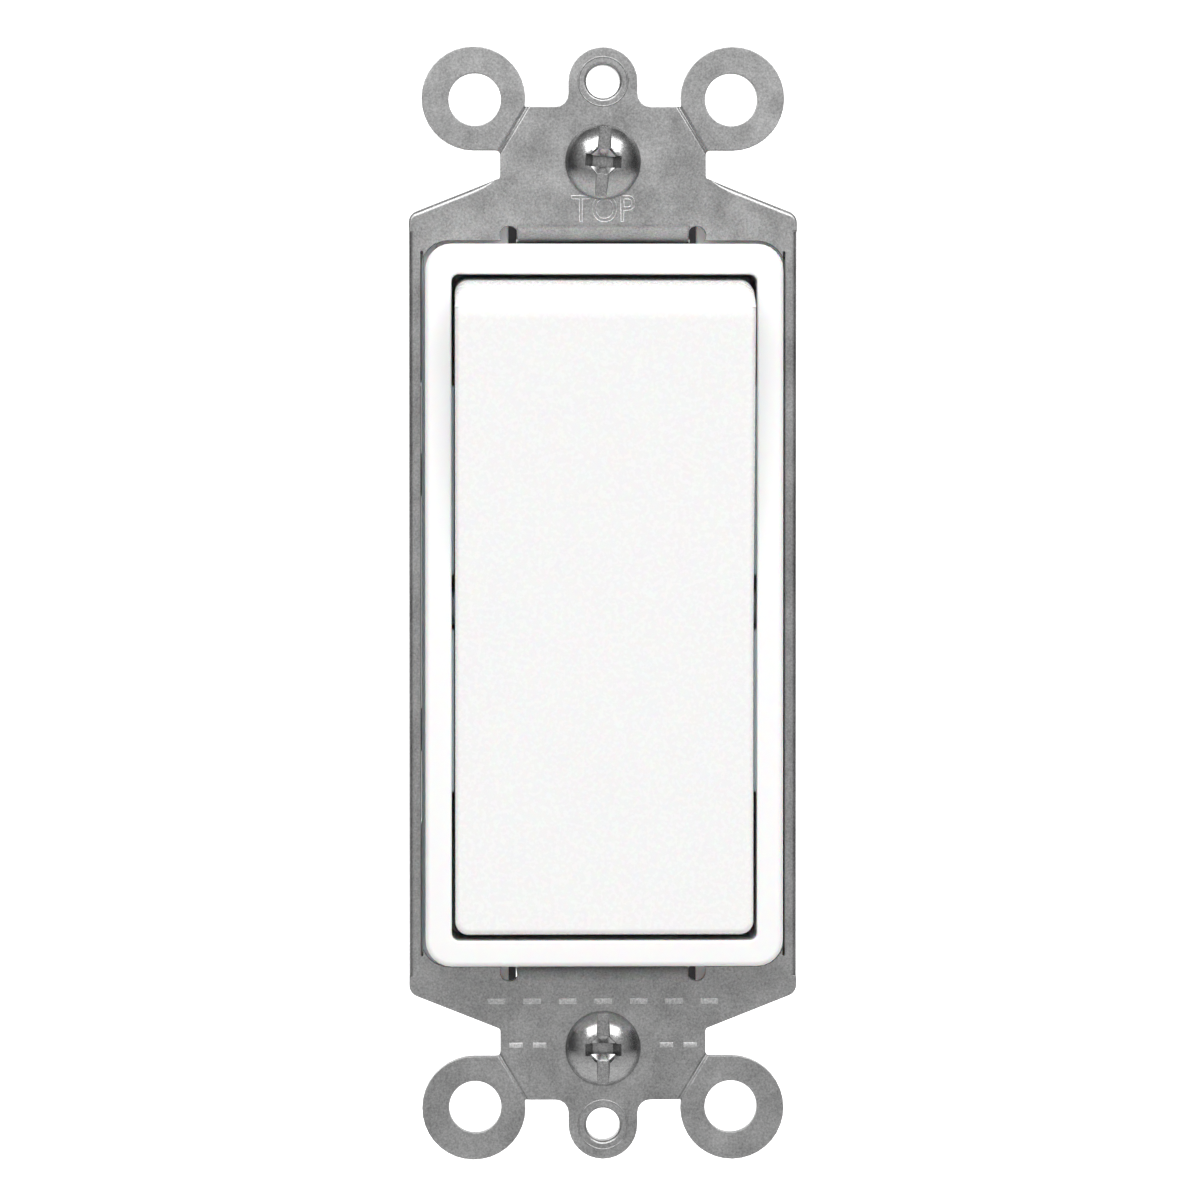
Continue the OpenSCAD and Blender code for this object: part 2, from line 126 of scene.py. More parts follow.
def deselect():
    if bpy.context.object and bpy.context.object.mode != "OBJECT":
        bpy.ops.object.mode_set(mode="OBJECT")
    bpy.ops.object.select_all(action="DESELECT")


def pick(piece):
    deselect()
    piece.select_set(True)
    bpy.context.view_layer.objects.active = piece


def apply_modifier(piece, kind, **settings):
    pick(piece)
    modifier = piece.modifiers.new(kind.lower(), kind)
    for key, value in settings.items():
        setattr(modifier, key, value)
    bpy.ops.object.modifier_apply(modifier=modifier.name)


def apply_place(piece):
    pick(piece)
    bpy.ops.object.transform_apply(location=True, rotation=True, scale=True)


def smooth(piece, angle=40):
    """Smooth shading with flat faces kept flat."""
    pick(piece)
    bpy.ops.object.shade_smooth_by_angle(angle=math.radians(angle))
    apply_modifier(piece, "WEIGHTED_NORMAL", keep_sharp=True)


def join(pieces, name):
    deselect()
    for piece in pieces:
        piece.select_set(True)
    bpy.context.view_layer.objects.active = pieces[0]
    bpy.ops.object.join()
    pieces[0].name = name
    return pieces[0]


def copy_of_node(node, name):
    """A clean mesh of a CAD node: its loose triangles are merged and its flat faces made whole."""
    source = frame["nodes"][node]
    mesh = source.data.copy()
    mesh.materials.clear()
    piece = bpy.data.objects.new(name, mesh)
    bpy.context.scene.collection.objects.link(piece)
    pick(piece)
    bpy.ops.object.mode_set(mode="EDIT")
    bpy.ops.mesh.select_all(action="SELECT")
    bpy.ops.mesh.remove_doubles(threshold=0.002 * MM)
    bpy.ops.mesh.dissolve_limited(angle_limit=math.radians(1))
    bpy.ops.mesh.customdata_custom_splitnormals_clear()
    bpy.ops.object.mode_set(mode="OBJECT")
    return piece


def round_edges(piece, width, segments=2, angle=38, width_of=None):
    """Rounds sharp edges. width_of(edge) may give an edge another width, or none."""
    edges = bmesh.new()
    edges.from_mesh(piece.data)
    weight = edges.edges.layers.float.get("bevel_weight_edge")
    if weight is None:
        weight = edges.edges.layers.float.new("bevel_weight_edge")
    sharp = [edge for edge in edges.edges
             if len(edge.link_faces) == 2 and edge.calc_face_angle(0) > math.radians(angle)]
    widths = [width_of(edge) if width_of else width for edge in sharp]
    for edge, own in zip(sharp, widths):
        edge[weight] = own / max(widths)
    edges.to_mesh(piece.data)
    edges.free()
    apply_modifier(piece, "BEVEL", width=max(widths), segments=segments, limit_method="WEIGHT",
                   use_clamp_overlap=False, miter_outer="MITER_ARC")
    smooth(piece)


def place_piece(piece, body, slot, material, *nodes):
    """Gives a finished piece its material and says what it moves with and stands for."""
    piece.data.materials.clear()
    piece.data.materials.append(material)
    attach(piece, body)
    if nodes:
        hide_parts(*nodes)
    return piece


def helix(name, radius, pitch, turns, section, steps=28):
    """A closed tube along Z, with the given cross-section of (outwards, along) points."""
    mesh = bmesh.new()
    rings = []
    count = int(turns * steps)
    for i in range(count + 1):
        turn = 2 * math.pi * i / steps
        rise = pitch * i / steps
        fade = min(1, i / (steps / 3), (count - i) / (steps / 3))
        ring = [mesh.verts.new(((radius + out * max(fade, 0.05)) * math.cos(turn),
                                (radius + out * max(fade, 0.05)) * math.sin(turn),
                                rise + along * max(fade, 0.05))) for out, along in section]
        rings.append(ring)
    sides = len(section)
    for low, high in zip(rings, rings[1:]):
        for j in range(sides):
            k = (j + 1) % sides
            mesh.faces.new((low[j], low[k], high[k], high[j]))
    mesh.faces.new(rings[0])
    mesh.faces.new(list(reversed(rings[-1])))
    bmesh.ops.recalc_face_normals(mesh, faces=mesh.faces)
    data = bpy.data.meshes.new(name)
    mesh.to_mesh(data)
    mesh.free()
    piece = bpy.data.objects.new(name, data)
    bpy.context.scene.collection.objects.link(piece)
    return piece


def cutter_box(size, place, turn=0.0):
    bpy.ops.mesh.primitive_cube_add(size=1, location=place, rotation=(0, 0, turn))
    box = bpy.context.object
    box.scale = size
    apply_place(box)
    return box


def cut(piece, tool):
    apply_modifier(piece, "BOOLEAN", operation="DIFFERENCE", object=tool, solver="EXACT")
    bpy.data.objects.remove(tool, do_unlink=True)


# ---------------------------------------------------------------- materials


class Shader:
    """A node tree with short ways to add the nodes that every finish here uses."""

    def __init__(self, name):
        self.material = bpy.data.materials.new(name)
        self.material.use_nodes = True
        self.tree = self.material.node_tree
        self.bsdf = self.tree.nodes["Principled BSDF"]
        self.coords = self.tree.nodes.new("ShaderNodeTexCoord").outputs["Object"]

    def set(self, **values):
        for key, value in values.items():
            self.bsdf.inputs[key.replace("_", " ")].default_value = value

    def link(self, source, socket):
        self.tree.links.new(source, self.bsdf.inputs[socket] if isinstance(socket, str) else socket)

    def stretch(self, scale):
        node = self.tree.nodes.new("ShaderNodeMapping")
        node.inputs["Scale"].default_value = scale
        self.tree.links.new(self.coords, node.inputs["Vector"])
        return node.outputs["Vector"]

    def noise(self, scale, detail=4, rough=0.55, vector=None, distortion=0.0):
        node = self.tree.nodes.new("ShaderNodeTexNoise")
        node.inputs["Scale"].default_value = scale
        node.inputs["Detail"].default_value = detail
        node.inputs["Roughness"].default_value = rough
        node.inputs["Distortion"].default_value = distortion
        self.tree.links.new(vector or self.coords, node.inputs["Vector"])
        return node.outputs["Fac"]

    def specks(self, scale):
        node = self.tree.nodes.new("ShaderNodeTexVoronoi")
        node.inputs["Scale"].default_value = scale
        self.tree.links.new(self.coords, node.inputs["Vector"])
        return node.outputs["Distance"]

    def ramp(self, source, low, high, start, end):
        node = self.tree.nodes.new("ShaderNodeMapRange")
        node.inputs["From Min"].default_value = start
        node.inputs["From Max"].default_value = end
        node.inputs["To Min"].default_value = low
        node.inputs["To Max"].default_value = high
        self.tree.links.new(source, node.inputs["Value"])
        return node.outputs["Result"]

    def math(self, operation, a, b):
        node = self.tree.nodes.new("ShaderNodeMath")
        node.operation = operation
        for socket, value in zip(node.inputs, (a, b)):
            if isinstance(value, (int, float)):
                socket.default_value = value
            else:
                self.tree.links.new(value, socket)
        return node.outputs[0]

    def tint(self, factor, dark, light):
        node = self.tree.nodes.new("ShaderNodeMix")
        node.data_type = "RGBA"
        node.inputs[6].default_value = (*dark, 1)
        node.inputs[7].default_value = (*light, 1)
        self.tree.links.new(factor, node.inputs[0])
        return node.outputs[2]

    def painted_recess_shade(self, source, dark, reach):
        """The given colour with painted shade: darkened where the surface lies deep in a narrow
        recess, where shade falls.
        """
        shade = self.tree.nodes.new("ShaderNodeAmbientOcclusion")
        shade.samples = 8
        shade.inputs["Distance"].default_value = reach
        node = self.tree.nodes.new("ShaderNodeMix")
        node.data_type = "RGBA"
        node.inputs[6].default_value = (*dark, 1)
        self.tree.links.new(source, node.inputs[7])
        self.tree.links.new(self.ramp(shade.outputs["AO"], 0, 1, 0.08, 0.4), node.inputs[0])
        return node.outputs[2]

    def bump(self, height, strength, depth):
        node = self.tree.nodes.new("ShaderNodeBump")
        node.inputs["Strength"].default_value = strength
        node.inputs["Distance"].default_value = depth
        self.tree.links.new(height, node.inputs["Height"])
        self.link(node.outputs["Normal"], "Normal")


def scaled(colour, factor):
    return tuple(min(1, channel * factor) for channel in colour)


def plated_metal(name, colour, rough=0.36, grain=1.0, recess_shade=False):
    """Plated or bare metal: cloudy patches, fine sparkle, faint scratches and uneven gloss, and, if
    asked, painted shade darkening deep recesses.
    """
    shader = Shader(name)
    cloud = shader.noise(300, 4, 0.6)
    grit = shader.noise(5200, 3, 0.75)
    scratch = shader.noise(900, 2, 0.5, shader.stretch((0.12, 1, 1.6)), 0.6)
    blend = shader.math("ADD", shader.math("MULTIPLY", cloud, 0.3),
                        shader.math("MULTIPLY", grit, 0.7))
    factor = shader.ramp(blend, 0, 1, 0.36, 0.64)
    tone = shader.tint(factor, scaled(colour, 0.66), scaled(colour, 1.3))
    # painted shade: an ambient-occlusion mask darkens the colour deep in narrow recesses, such as a
    # screw's cross recess
    if recess_shade:
        tone = shader.painted_recess_shade(tone, scaled(colour, 0.06), 2.5 * MM)
    shader.link(tone, "Base Color")
    shader.link(shader.ramp(cloud, rough - 0.05, rough + 0.07, 0.3, 0.7), "Roughness")
    shader.set(Metallic=1.0)
    relief = shader.math("ADD", shader.math("MULTIPLY", grit, 0.6 * grain),
                         shader.math("MULTIPLY", scratch, 0.4 * grain))
    shader.bump(relief, 0.35, 0.03 * MM)
    return shader.material


def moulded_plastic(name, colour, rough=0.28, texture=0.006, coat=0.0):
    """Injection-moulded plastic: a faint tone drift, fine surface texture and varied gloss."""
    shader = Shader(name)
    drift = shader.noise(70, 3, 0.5)
    fine = shader.noise(2400, 4, 0.6)
    shader.link(shader.tint(shader.ramp(drift, 0, 1, 0.3, 0.7), scaled(colour, 0.995),
                            scaled(colour, 1.0)), "Base Color")
    shader.link(shader.ramp(fine, rough - 0.02, rough + 0.04, 0.3, 0.7), "Roughness")
    shader.set(Coat_Weight=coat, IOR=1.5)
    shader.bump(fine, texture, 0.012 * MM)
    if min(colour) > 0.5:
        shader.set(Subsurface_Weight=0.5, Subsurface_Scale=0.8 * MM)
    return shader.material


def grained_plastic(name, colour, rough=0.5):
    """Dark thermoset or nylon with a spark-eroded grain."""
    shader = Shader(name)
    cells = shader.specks(1800)
    drift = shader.noise(120, 4, 0.6)
    shader.link(shader.tint(shader.ramp(drift, 0, 1, 0.3, 0.7), scaled(colour, 0.8),
                            scaled(colour, 1.25)), "Base Color")
    shader.link(shader.ramp(cells, rough - 0.08, rough + 0.1, 0, 0.8), "Roughness")
    shader.bump(cells, 0.4, 0.02 * MM)
    return shader.material


def fibre_board(name, colour):
    """Vulcanised fibre: matted strands and a dull surface."""
    shader = Shader(name)
    strands = shader.noise(1400, 5, 0.7, shader.stretch((0.25, 1, 1)), 1.5)
    shader.link(shader.tint(shader.ramp(strands, 0, 1, 0.35, 0.65), scaled(colour, 0.7),
                            scaled(colour, 1.2)), "Base Color")
    shader.set(Roughness=0.75)
    shader.bump(strands, 0.5, 0.03 * MM)
    return shader.material


def soft_rubber(name, colour):
    shader = Shader(name)
    bloom = shader.noise(700, 4, 0.6)
    shader.link(shader.tint(bloom, scaled(colour, 0.8), scaled(colour, 1.3)), "Base Color")
    shader.link(shader.ramp(bloom, 0.6, 0.8, 0.3, 0.7), "Roughness")
    shader.bump(bloom, 0.3, 0.02 * MM)
    return shader.material


FINISHES = {}


def finish_of(slot):
    """The finish of a material slot, made once and shared."""
    if slot not in FINISHES:
        scene = bpy.context.scene
        strap = tuple(scene.switch_strap.colour)
        white = tuple(scene.switch_plastic.white)
        makers = {
            "strap_steel": lambda: plated_metal("zinc_plated_strap", strap, 0.38),
            "worn_steel": lambda: plated_metal("worn_stamped_edges", scaled(strap, 1.5), 0.5),
            # the mounting screws' finish has painted shade darkening its recesses
            "screw_zinc": lambda: plated_metal("zinc_plated_screw", scaled(strap, 1.05), 0.22,
                                               0.5, True),
            "white_plastic": lambda: moulded_plastic("white_frame_plastic",
                                                     scaled(white, 1.04), 0.3),
            "paddle_plastic": lambda: moulded_plastic("white_paddle_plastic",
                                                      scaled(white, 0.985), 0.26),
            "black_nylon": lambda: grained_plastic("black_nylon", (0.02, 0.02, 0.02)),
            "acetal": lambda: moulded_plastic("natural_acetal", (0.78, 0.76, 0.70), 0.4, 0.3),
            "spring_steel": lambda: plated_metal("bright_spring_wire", (0.6, 0.6, 0.6), 0.25, 0.6),
            "pad_rubber": lambda: soft_rubber("bumper_rubber", (0.08, 0.08, 0.08)),
            "housing_plastic": lambda: grained_plastic("grey_housing_plastic",
                                                       (0.045, 0.045, 0.048)),
            "fibre": lambda: fibre_board("vulcanised_fibre", (0.25, 0.10, 0.05)),
            "bronze": lambda: plated_metal("phosphor_bronze", (0.62, 0.36, 0.20), 0.3),
            "contact_silver": lambda: plated_metal("silver_contact", (0.80, 0.79, 0.77), 0.3),
            "terminal_brass": lambda: plated_metal("stamped_brass", (0.68, 0.47, 0.18), 0.33),
            "screw_brass": lambda: plated_metal("brass_screw", (0.72, 0.50, 0.20), 0.24, 0.6),
            "ground_green": lambda: moulded_plastic("green_dipped_screw", (0.01, 0.16, 0.06), 0.3,
                                                    0.6),
        }
        FINISHES[slot] = makers[slot]()
    return FINISHES[slot]


# ---------------------------------------------------------------- the metal strap


def off_shoulder(edge):
    """The strap's usual edge width, or none where the shoulders are rolled instead."""
    for vert in edge.verts:
        on_shoulder = abs(vert.co.x) > 9.8 * MM and 34.65 * MM < vert.co.z < 39.6 * MM
        if on_shoulder and vert.co.y < -0.3 * MM:
            return 0
    return bpy.context.scene.switch_strap.edge


def shoulder_path():
    """Points along one shoulder's outline: x, z, outward angle and share of the full rolling."""
    path = [(10.10, 39.27, 68.6, 0.15), (11.1, 38.88, 68.6, 0.8), (12.1, 38.49, 68.6, 1.0),
            (16.9, 36.58, 68.6, 1.0)]
    path += [(16.9 + 1.1 * math.cos(math.radians(a)), 35.4 + 1.1 * math.sin(math.radians(a)),
              a, 0.45 + 0.55 * a / 68) for a in range(68, -1, -17)]
    return path + [(18.0, 34.9, 0, 0.3)]


def roll_edge(piece, path, width, front, flip_x):
    """Rounds a front edge that follows a path, by cutting the waste outside a quarter circle."""
    section = [(0.4, -0.4), (0.4, 1)]
    section += [(math.cos(a * math.pi / 8) - 1, 1 - math.sin(a * math.pi / 8)) for a in range(5)]
    section.append((-1, -0.4))
    mesh = bmesh.new()
    rings = []
    for x, z, angle, share in path:
        reach = width * share
        out = Vector((math.cos(math.radians(angle)), math.sin(math.radians(angle))))
        rings.append([mesh.verts.new((flip_x * (x * MM + out.x * across * reach),
                                      front + back * reach,
                                      z * MM + out.y * across * reach))
                      for across, back in section])
    for low, high in zip(rings, rings[1:]):
        for j in range(len(section)):
            k = (j + 1) % len(section)
            mesh.faces.new((low[j], low[k], high[k], high[j]))
    mesh.faces.new(rings[0])
    mesh.faces.new(list(reversed(rings[-1])))
    bmesh.ops.recalc_face_normals(mesh, faces=mesh.faces)
    data = bpy.data.meshes.new("waste")
    mesh.to_mesh(data)
    mesh.free()
    waste = bpy.data.objects.new("waste", data)
    bpy.context.scene.collection.objects.link(waste)
    cut(piece, waste)


def stamped_word(text, height, place, depth):
    """The raised burr around the letters of a stamped word, facing the user."""
    bpy.ops.object.text_add(location=place, rotation=(math.pi / 2, 0, 0))
    word = bpy.context.object
    word.data.body = text
    word.data.align_x = "CENTER"
    word.data.align_y = "CENTER"
    word.data.size = height / 0.70
    word.data.space_character = 1.02
    word.data.fill_mode = "NONE"
    word.data.bevel_depth = depth
    word.data.bevel_resolution = 2
    word.scale.x = 0.87
    pick(word)
    bpy.ops.object.convert(target="MESH")
    apply_place(word)
    return bpy.context.object


class SWITCH_OT_strap(bpy.types.Operator):
    """Make the zinc-plated strap with rolled shoulders, stamped marks and screw seats"""
    bl_idname = "switch.strap"
    bl_label = "Strap"

    def execute(self, context):
        settings = context.scene.switch_strap
        strap = copy_of_node("mounting_strap", "strap")
        for flip_x in (-1, 1):
            roll_edge(strap, shoulder_path(), settings.fold, -STRAP_T, flip_x)
        round_edges(strap, 0, 2, 38, off_shoulder)
        for vert in strap.data.vertices:  # the rounding overshoots at the ends of the rails
            vert.co.x = max(STRAP_LOW.x, min(STRAP_HIGH.x, vert.co.x))
        place_piece(strap, "switch_body", "strap_steel", finish_of("strap_steel"), "mounting_strap")
        self.marks(settings)
        self.rims()
        return {"FINISHED"}

    def marks(self, settings):
        word = stamped_word("TOP", settings.letters, (0, -STRAP_T, 36.5 * MM), 0.07 * MM)
        word.name = "stamped_word"
        place_piece(word, "switch_body", "strap_steel", finish_of("worn_steel"))
        front = -STRAP_T - 0.02 * MM
        bars = [cutter_box((1.7 * MM, 0.16 * MM, 0.55 * MM), (i * 3.3 * MM, front, -36.9 * MM))
                for i in range(-3, 4)]
        bars += [cutter_box((1.3 * MM, 0.16 * MM, 0.5 * MM), (x * MM, front, -41.0 * MM))
                 for x in (-8.1, -5.9, 5.9, 8.1)]
        row = join(bars, "stamped_bars")
        round_edges(row, 0.06 * MM, 2)
        place_piece(row, "switch_body", "strap_steel", finish_of("worn_steel"))

    def rims(self):
        """Thin raised lips that the tapping tool leaves around the cover-plate screw holes."""
        rims = []
        for end in (-1, 1):
            bpy.ops.mesh.primitive_torus_add(
                location=(0, -STRAP_T, end * 48.42 * MM), rotation=(math.pi / 2, 0, 0),
                major_segments=64, minor_segments=10, major_radius=2.28 * MM,
                minor_radius=0.08 * MM)
            rims.append(bpy.context.object)
            apply_place(bpy.context.object)
        rim = join(rims, "screw_seat_rims")
        smooth(rim)
        place_piece(rim, "switch_body", "strap_steel", finish_of("strap_steel"))


# ---------------------------------------------------------------- white plastic pieces


def rim_width(edge):
    """The frame's outer front edge is rounded more than its other edges."""
    outer = all(v.co.y < FRAME_FRONT + 0.02 * MM
                and (abs(v.co.x) > 15.2 * MM or abs(v.co.z) > 31.6 * MM) for v in edge.verts)
    return 0.5 * MM if outer else bpy.context.scene.switch_plastic.edge


class SWITCH_OT_frame(bpy.types.Operator):
    """Make the white front frame with its rounded rim"""
    bl_idname = "switch.frame"
    bl_label = "Front frame"

    def execute(self, context):
        body = copy_of_node("front_frame", "white_frame")
        round_edges(body, 0, 3, 38, rim_width)
        place_piece(body, "switch_body", "white_plastic", finish_of("white_plastic"), "front_frame")
        return {"FINISHED"}


class SWITCH_OT_paddle(bpy.types.Operator):
    """Make the rocker paddle: two shallow facets, rolled ends, a hollow back and trunnions"""
    bl_idname = "switch.paddle"
    bl_label = "Paddle"

    def execute(self, context):
        settings = context.scene.switch_plastic
        width, back = 27.45 * MM, 1.0 * MM
        face, tip, root = 5.0 * MM, 29.6 * MM, 30.4 * MM
        bpy.ops.mesh.primitive_cube_add(size=1)
        paddle = context.object
        paddle.name = "paddle"
        for vert in paddle.data.vertices:
            front = vert.co.y < 0
            z = math.copysign(tip if front else root, vert.co.z)
            y = -face - tip * math.tan(HALF_TILT) if front else back
            vert.co = (math.copysign(width / 2, vert.co.x), y, z)
        self.fold_face(paddle, face)
        self.round_corners(paddle, settings)
        self.hollow(paddle)
        smooth(paddle, 30)
        bpy.ops.object.select_all(action="DESELECT")
        parts = [paddle] + self.trunnions()
        paddle = join(parts, "paddle")
        paddle.data.transform(Matrix.Translation(PIVOT) @ Matrix.Rotation(HALF_TILT, 4, "X"))
        place_piece(paddle, "rocker", "paddle_plastic", finish_of("paddle_plastic"),
                    "rocker_paddle")
        return {"FINISHED"}

    def fold_face(self, paddle, face):
        """Cuts the block across, then shapes the two slopes, the end faces and the curled top."""
        pick(paddle)
        bpy.ops.object.mode_set(mode="EDIT")
        levels = [0, CURL_START, 27.6 * MM, 28.1 * MM]
        for place, normal in [((0, 0, z), (0, 0, 1)) for z in levels] + [
                ((0, PADDLE_BEND, 0), (0, 1, 0))]:
            bpy.ops.mesh.select_all(action="SELECT")
            bpy.ops.mesh.bisect(plane_co=place, plane_no=normal)
        bpy.ops.object.mode_set(mode="OBJECT")
        curl = 3.2 * MM
        for vert in paddle.data.vertices:
            y, z = vert.co.y, vert.co.z
            if abs(y - PADDLE_BEND) < 0.01 * MM and abs(z) > 29.5 * MM:
                vert.co.z = math.copysign(30.23 * MM, z)
            elif y < PADDLE_BEND - 0.1 * MM:
                vert.co.y = -face - abs(z) * math.tan(HALF_TILT)
                past = max(0, z - CURL_START)
                vert.co.y += curl - math.sqrt(curl ** 2 - past ** 2)

    def round_corners(self, paddle, settings):
        """Rounds the four corners, and then every sharp edge of the front."""
        pick(paddle)
        mesh = bmesh.new()
        mesh.from_mesh(paddle.data)
        ends = [e for e in mesh.edges
                if all(abs(v.co.z) > 29.3 * MM and abs(v.co.x) > 13 * MM for v in e.verts)
                and abs(e.verts[0].co.x - e.verts[1].co.x) < 1e-6
                and abs(e.verts[0].co.y - e.verts[1].co.y) > 1 * MM]
        bmesh.ops.bevel(mesh, geom=ends, offset=settings.corner, segments=7, profile=0.5,
                        affect="EDGES", clamp_overlap=False)
        weight = mesh.edges.layers.float.new("bevel_weight_edge")
        for edge in mesh.edges:
            in_front = all(v.co.y < PADDLE_BEND - 0.1 * MM for v in edge.verts)
            if in_front and edge.calc_face_angle(0) >= math.radians(32):
                edge[weight] = 1
        mesh.to_mesh(paddle.data)
        mesh.free()
        apply_modifier(paddle, "BEVEL", width=settings.roll, segments=5, limit_method="WEIGHT",
                       use_clamp_overlap=False)

    def hollow(self, paddle):
        """Insets the back and pushes it in, which leaves a shell."""
        pick(paddle)
        mesh = bmesh.new()
        mesh.from_mesh(paddle.data)
        back = [f for f in mesh.faces if f.normal.y > 0.9]
        bmesh.ops.inset_region(mesh, faces=back, thickness=1.6 * MM)
        back = [f for f in mesh.faces if f.normal.y > 0.9
                and all(abs(v.co.x) < 12.4 * MM for v in f.verts)]
        grown = bmesh.ops.extrude_face_region(mesh, geom=back)
        bmesh.ops.delete(mesh, geom=back, context="FACES_ONLY")
        moved = [g for g in grown["geom"] if isinstance(g, bmesh.types.BMVert)]
        bmesh.ops.translate(mesh, verts=moved, vec=(0, -4.2 * MM, 0))
        bmesh.ops.recalc_face_normals(mesh, faces=mesh.faces)
        mesh.to_mesh(paddle.data)
        mesh.free()

    def trunnions(self):
        made = []
        for side in (-1, 1):
            for radius, inner, outer in ((3.4, 12.2, 13.72), (1.75, 12.9, 15.9)):
                middle = side * (inner + outer) / 2 * MM
                bpy.ops.mesh.primitive_cylinder_add(
                    vertices=48, radius=radius * MM, depth=(outer - inner) * MM,
                    location=(middle, 0, 0), rotation=(0, math.pi / 2, 0))
                piece = bpy.context.object
                apply_place(piece)
                round_edges(piece, 0.12 * MM, 2)
                made.append(piece)
        return made


# ---------------------------------------------------------------- screws


def domed_head(name, radius, rise, slot, recess, depth):
    """A domed head standing on Z = 0 with a straight slot and a cross recess."""
    bpy.ops.mesh.primitive_cylinder_add(vertices=72, radius=radius, depth=0.25 * MM,
                                        location=(0, 0, 0.125 * MM))
    head = bpy.context.object
    head.name = name
    apply_place(head)
    pick(head)
    bpy.ops.object.mode_set(mode="EDIT")
    bpy.ops.mesh.select_all(action="DESELECT")
    mesh = bmesh.from_edit_mesh(head.data)
    for face in mesh.faces:
        face.select = face.normal.z > 0.9
    bmesh.update_edit_mesh(head.data)
    base = 0.25 * MM
    dome = (radius ** 2 + (rise - base) ** 2) / (2 * (rise - base))
    rim = math.asin(radius / dome)
    steps = 9
    for i in range(1, steps):
        angle = rim * (1 - i / steps)
        before = rim * (1 - (i - 1) / steps)
        bpy.ops.mesh.extrude_region_move(TRANSFORM_OT_translate={
            "value": (0, 0, dome * (math.cos(angle) - math.cos(before)))})
        ratio = math.sin(angle) / math.sin(before)
        bpy.ops.transform.resize(value=(ratio, ratio, 1), center_override=(0, 0, 0))
    bpy.ops.object.mode_set(mode="OBJECT")
    neck_radius, neck_depth = 1.2 * MM, 1.2 * MM
    bpy.ops.mesh.primitive_cylinder_add(vertices=48, radius=neck_radius, depth=neck_depth,
                                        location=(0, 0, -0.5 * MM))
    neck = bpy.context.object
    apply_place(neck)
    apply_modifier(head, "BOOLEAN", operation="UNION", object=neck, solver="EXACT")
    bpy.data.objects.remove(neck, do_unlink=True)
    floor = rise - depth
    groove = cutter_box((radius * 2.4, slot, 2 * MM), (0, 0, floor + 1 * MM))
    for vert in groove.data.vertices:
        vert.co.y *= 0.78 if vert.co.z < rise else 1.12
    cut(head, groove)
    recess_tool(head, rise, recess, floor)
    apply_modifier(head, "BEVEL", width=0.1 * MM, segments=2, limit_method="ANGLE",
                   angle_limit=math.radians(40), use_clamp_overlap=True)
    smooth(head, 35)
    return head


def recess_tool(head, rise, reach, floor):
    """Cuts the cross recess: two deep wings across the slot and a pointed eight-sided well."""
    wing = cutter_box((0.62 * reach, 2 * reach, rise + 0.8 * MM), (0, 0, rise / 2 - 0.1 * MM))
    for vert in wing.data.vertices:
        if vert.co.z < rise:
            vert.co.x *= 0.8
            vert.co.y *= 0.5
    cut(head, wing)
    well = 0.66 * reach
    for low_radius, high_radius, low, high in (
            (well, 0.78 * reach, floor - 0.01 * MM, rise + 0.3 * MM),
            (0.02 * MM, well, floor - 0.95 * MM, floor)):
        bpy.ops.mesh.primitive_cone_add(vertices=8, radius1=low_radius, radius2=high_radius,
                                        depth=high - low, location=(0, 0, (low + high) / 2),
                                        rotation=(0, 0, math.pi / 8))
        cone = bpy.context.object
        apply_place(cone)
        cut(head, cone)


def threaded_shank(radius, length, pitch, plain):
    """A core and a helical thread around it, hanging below Z = 0 with a plain part at the top."""
    bpy.ops.mesh.primitive_cylinder_add(vertices=48, radius=radius - 0.36 * MM, depth=length,
                                        location=(0, 0, -length / 2))
    core = bpy.context.object
    apply_place(core)
    for vert in core.data.vertices:
        if vert.co.z < -length + 0.01 * MM:
            vert.co.x *= 0.8
            vert.co.y *= 0.8
        else:
            vert.co.z = -1.0 * MM
    smooth(core, 35)
    depth = 0.36 * MM
    turns = (length - 1.0 * MM - plain) / pitch
    thread = helix("thread", radius - depth, pitch, turns,
                   [(-0.1 * MM, -pitch * 0.47), (depth, -pitch * 0.06), (depth, pitch * 0.06),
                    (-0.1 * MM, pitch * 0.47)])
    thread.data.transform(Matrix.Translation((0, 0, -length + 0.45 * MM)))
    return [core, thread]


def make_screw(name, head_radius, rise, slot, recess, depth, radius, length, plain=0):
    pitch = bpy.context.scene.switch_screws.pitch
    head = domed_head(name, head_radius, rise, slot, recess, depth)
    return join([head] + threaded_shank(radius, length, pitch, plain), name)


def stand(piece, place, matrix):
    piece.data.transform(Matrix.Translation(place) @ matrix)
    return piece


class SWITCH_OT_mount_screws(bpy.types.Operator):
    """Make the two captive mounting screws with combination heads"""
    bl_idname = "switch.mount_screws"
    bl_label = "Mounting screws"

    def execute(self, context):
        settings = context.scene.switch_screws
        for end, turn in (("top", -4), ("bottom", 0)):
            low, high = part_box(f"mount_screw_{end}")
            length = high.y - low.y - settings.rise
            screw = make_screw(f"mounting_screw_{end}", settings.head, settings.rise,
                               settings.slot, 1.9 * MM, 1.4 * MM, THREAD_R, length,
                               2.4 * MM)
            place = Vector(((low.x + high.x) / 2, low.y + settings.rise, (low.z + high.z) / 2))
            face_user = Matrix.Rotation(math.pi / 2, 4, "X")
            upright = Matrix.Rotation(math.pi / 2 + math.radians(turn), 4, "Z")
            stand(screw, place, face_user @ upright)
            place_piece(screw, f"{end}_screw", "screw_zinc", finish_of("screw_zinc"),
                        f"mount_screw_{end}")
        return {"FINISHED"}


